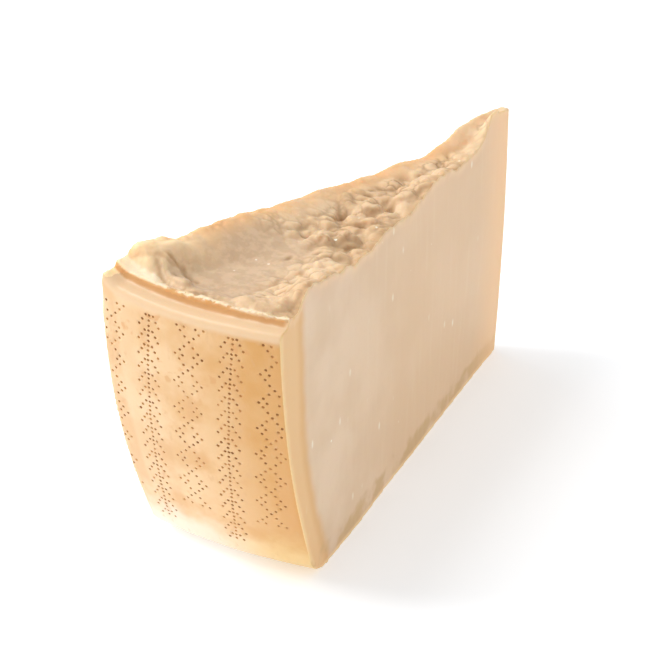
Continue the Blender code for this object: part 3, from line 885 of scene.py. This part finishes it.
def cut_material():
    """The wire-cut paste, with the drier zone under the rind, the stained band over the base, and painted
    glow at the foot, under the top and towards the tip.
    """
    shader = Shader("cut paste")
    color = shader.blend(shader.ease(shader.noise(0.035, detail=3.0), 0.35, 0.65), PASTE_PALE, PASTE_DEEP)
    color = shader.blend(shader.ease(shader.y, -0.170, -0.070, 0.7), color, PASTE_FAR)
    streaks = shader.noise(0.0035, detail=3.0, stretch=(1.0, 1.0, 14.0))
    color = shader.blend(shader.ease(streaks, 0.52, 0.72, 0.22), color, PASTE_STREAK)
    grain = shader.noise(0.0011, detail=3.0, roughness=0.7)
    color = shader.blend(shader.ease(grain, 0.56, 0.72, 0.30), color, PASTE_GRAIN)
    spots = shader.ease(shader.cells(0.0075, (1.0, 1.0, 2.4)), 0.140, 0.045, 0.62)
    chosen = shader.ease(shader.noise(0.022), 0.45, 0.58)
    color = shader.blend(shader.times(spots, chosen), color, CRYSTAL)
    crystals = shader.ease(shader.cells(0.0110), 0.060, 0.035, 0.9)
    crystals = shader.times(crystals, shader.ease(shader.noise(0.017), 0.48, 0.54))
    color = shader.blend(crystals, color, CRYSTAL)
    wander = shader.times(shader.math('SUBTRACT', shader.noise(0.012, detail=3.0), 0.5), 0.0035)
    depth = shader.math('ADD', under_rind(shader), wander)
    zone_end = shader.math('ADD', ZONE_DEPTH, shader.ease(shader.z, 0.045, 0.115, ZONE_WIDENS))
    left = shader.math('SUBTRACT', zone_end, depth)
    zone = shader.blend(shader.ease(left, 0.0070, 0.0015), ZONE_PINK, ZONE_ORANGE)
    zone = shader.blend(shader.ease(depth, 0.0026, 0.0006, 0.8), zone, ZONE_SKIN)
    color = shader.blend(shader.ease(left, -0.0030, 0.0036, 0.85), color, zone)
    band_top = shader.math('ADD', BAND_HEIGHT, shader.times(shader.noise(0.009, detail=4.0), 0.012))
    band = shader.ease(shader.math('SUBTRACT', band_top, shader.z), -0.0020, 0.0025, 0.80)
    band = shader.times(band, shader.ease(shader.noise(0.014, detail=3.0), 0.34, 0.56))
    color = shader.blend(band, color, BAND_OLIVE)
    # Painted glow along the foot of the sides, for light let through the paste there.
    color = shader.blend(shader.ease(shader.z, 0.0028, 0.0006, 0.8), color, BASE_GLOW)
    # Creamier in patches just under the broken top: painted glow of light let through the thin edge.
    cream = shader.ease(shader.noise(0.006, detail=3.0), 0.30, 0.55, 0.8)
    color = shader.blend(shader.times(shader.attribute("near_top"), cream), color, EDGE_GLOW_CREAM)
    # Oranger towards the thin tip: painted glow of light let through it.
    tip_glow = shader.ease(shader.y, TIP_Y - 0.034, TIP_Y + 0.002, 0.8)
    color = shader.blend(tip_glow, color, TIP_GLOW_ORANGE)
    shader.relief(shader.noise(0.0009, detail=4.0, stretch=(1.0, 1.0, 3.0)), 0.00015, 0.30)
    return shader.finish(color, 0.46, gloss=0.30, glow=0.30, glow_depth=0.007)


def break_material():
    """The broken paste: pale on its peaks, partly painted highlight, and dark in its clefts with painted
    shade; also painted shade in its bowl, and painted glow along its left side and on its lump.
    """
    shader = Shader("broken paste")
    color = shader.blend(shader.ease(shader.noise(0.022, detail=4.0), 0.35, 0.65), BREAK_PALE, BREAK_TAN)
    grain = shader.noise(0.0016, detail=4.0, roughness=0.65)
    # Paler where the grain's bump stands highest: partly speckle of the grain, partly painted highlight on
    # its tops.
    color = shader.blend(shader.ease(grain, 0.55, 0.75, 0.55), color, BREAK_PEAK)
    at_side = shader.times(shader.attribute("right_edge"), shader.ease(shader.y, -0.030, -0.050, 0.8))
    color = shader.blend(at_side, color, BREAK_SIDE)
    color = shader.blend(shader.ease(shader.y, -0.050, -0.020, 0.5), color, BREAK_PEAK)
    # Greyer and darker, in patches, in the hollow bowl behind the lip: painted shade.
    pits = shader.ease(shader.noise(0.0042, detail=4.0, roughness=0.6), 0.42, 0.62)
    bowl = shader.blend(pits, BOWL_SHADE_DARK, BOWL_SHADE_GREY)
    color = shader.blend(shader.times(shader.attribute("bowl"), 0.85), color, bowl)
    # Golden in patches along the left side, and over the lump: painted glow of the light behind the left
    # edge, and painted light on the lump.
    patchy = shader.ease(shader.noise(0.010, detail=3.0), 0.25, 0.55)
    on_lump = shader.ease(shader.y, -0.150, -0.172)
    patchy = shader.math('MAXIMUM', patchy, on_lump)
    painted_glow = shader.times(shader.attribute("left_edge"), patchy, shader.ease(shader.y, -0.018, -0.042))
    color = shader.blend(painted_glow, color, shader.blend(on_lump, BREAK_GLOW_GOLD, LUMP_LIT_GOLD))
    # Brown in the clefts, hollows and creases and on the flanks of the raised forms: painted shade, lighter
    # on the lump.
    cleft_shade_color = shader.blend(shader.times(on_lump, shader.attribute("left_edge")), CLEFT_SHADE_BROWN, LUMP_SHADE_BROWN)
    color = shader.blend(shader.times(shader.attribute("cleft"), 0.75), color, cleft_shade_color)
    # White specks: partly the paste's crystals, partly painted glints.
    crystals = shader.ease(shader.cells(0.0080), 0.095, 0.055, 0.9)
    crystals = shader.times(crystals, shader.ease(shader.noise(0.015), 0.46, 0.52))
    color = shader.blend(crystals, color, CRYSTAL)
    # The riser's orange section with painted shade, where it reaches the break.
    color = shader.blend(shader.attribute("riser"), color, RISER_SHADED_ORANGE)
    crumbs = shader.ease(shader.noise(0.0022, detail=3.0), 0.36, 0.52)
    crumbs = shader.math('MAXIMUM', crumbs, shader.ease(shader.x, -0.010, -0.018))
    color = shader.blend(shader.times(shader.attribute("lip"), crumbs, 0.9), color, LIP_CREAM)
    shader.relief(grain, 0.00035, 0.40)
    return shader.finish(color, 0.58, gloss=0.28, glow=0.35, glow_depth=0.006)


def look(wheel_shift):
    """The camera at the photograph's viewing angle; the shift is from the wheel's axis to the origin."""
    back = Vector((math.sin(VIEW_AZIMUTH) * math.cos(VIEW_ELEVATION),
                   -math.cos(VIEW_AZIMUTH) * math.cos(VIEW_ELEVATION), math.sin(VIEW_ELEVATION)))
    right = Vector((math.cos(VIEW_AZIMUTH), math.sin(VIEW_AZIMUTH), 0.0))
    up = back.cross(right)
    camera = bpy.data.objects.new("camera", bpy.data.cameras.new("camera"))
    bpy.context.scene.collection.objects.link(camera)
    camera.data.sensor_width = SENSOR
    camera.data.lens = LENS_PIXELS * SENSOR / FRAME_PIXELS
    place = Vector(VIEW_CENTRE) + wheel_shift + back * VIEW_DISTANCE + right * VIEW_ASIDE + up * VIEW_UP
    camera.matrix_world = Matrix.Translation(place) @ Matrix((right, up, back)).transposed().to_4x4()
    bpy.context.scene.camera = camera


def make_floor():
    """White paper, lit a little from within, as on a light table."""
    mesh = bpy.data.meshes.new("floor")
    bm = bmesh.new()
    bmesh.ops.create_grid(bm, x_segments=1, y_segments=1, size=FLOOR_SIZE)
    bm.to_mesh(mesh)
    bm.free()
    floor = bpy.data.objects.new("floor", mesh)
    bpy.context.scene.collection.objects.link(floor)
    paper = bpy.data.materials.new("floor")
    paper.use_nodes = True
    shader = paper.node_tree.nodes["Principled BSDF"]
    shader.inputs["Base Color"].default_value = (0.91, 0.93, 0.96, 1.0)
    shader.inputs["Roughness"].default_value = 0.9
    shader.inputs["Specular IOR Level"].default_value = 0.0
    shader.inputs["Emission Color"].default_value = (0.97, 0.99, 1.0, 1.0)
    shader.inputs["Emission Strength"].default_value = FLOOR_GLOW
    mesh.materials.append(paper)


def lamp(name, place, size, power, color):
    light = bpy.data.objects.new(name, bpy.data.lights.new(name, 'AREA'))
    light.data.shape = 'RECTANGLE'
    light.data.size, light.data.size_y = size
    light.data.energy = power
    light.data.color = color
    light.location = place
    light.rotation_euler = (LIT_POINT - light.location).to_track_quat('-Z', 'Y').to_euler()
    bpy.context.scene.collection.objects.link(light)


def make_sky():
    """A studio that is brighter near the floor than overhead."""
    world = bpy.data.worlds.new("studio")
    world.use_nodes = True
    tree = world.node_tree
    direction = tree.nodes.new("ShaderNodeTexCoord")
    split = tree.nodes.new("ShaderNodeSeparateXYZ")
    tree.links.new(direction.outputs["Generated"], split.inputs[0])
    strength = tree.nodes.new("ShaderNodeMapRange")
    for socket, number in zip(strength.inputs[1:], (0.0, 1.0, SKY_LOW, SKY_HIGH)):
        socket.default_value = number
    tree.links.new(split.outputs[2], strength.inputs[0])
    tree.links.new(strength.outputs[0], tree.nodes["Background"].inputs["Strength"])
    tree.nodes["Background"].inputs["Color"].default_value = (0.975, 0.988, 1.0, 1.0)
    bpy.context.scene.world = world


noise.seed_set(CRAG_SEED)
wedge = make_wedge()
WHEEL_AXIS = tuple(-wedge_shift(wedge.data.vertices))
for material in (rind_material(), cut_material(), break_material(), prick_material()):
    wedge.data.materials.append(material)
wheel_shift = finish_wedge(wedge)
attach(wedge, "root")
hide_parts("cheese_wedge")

look(wheel_shift)
make_floor()
lamp("key", KEY_PLACE, KEY_SIZE, KEY_POWER, (1.0, 0.99, 0.975))
lamp("rim", RIM_PLACE, RIM_SIZE, RIM_POWER, (1.0, 0.99, 0.975))
make_sky()
bpy.context.scene.view_settings.view_transform = 'Standard'
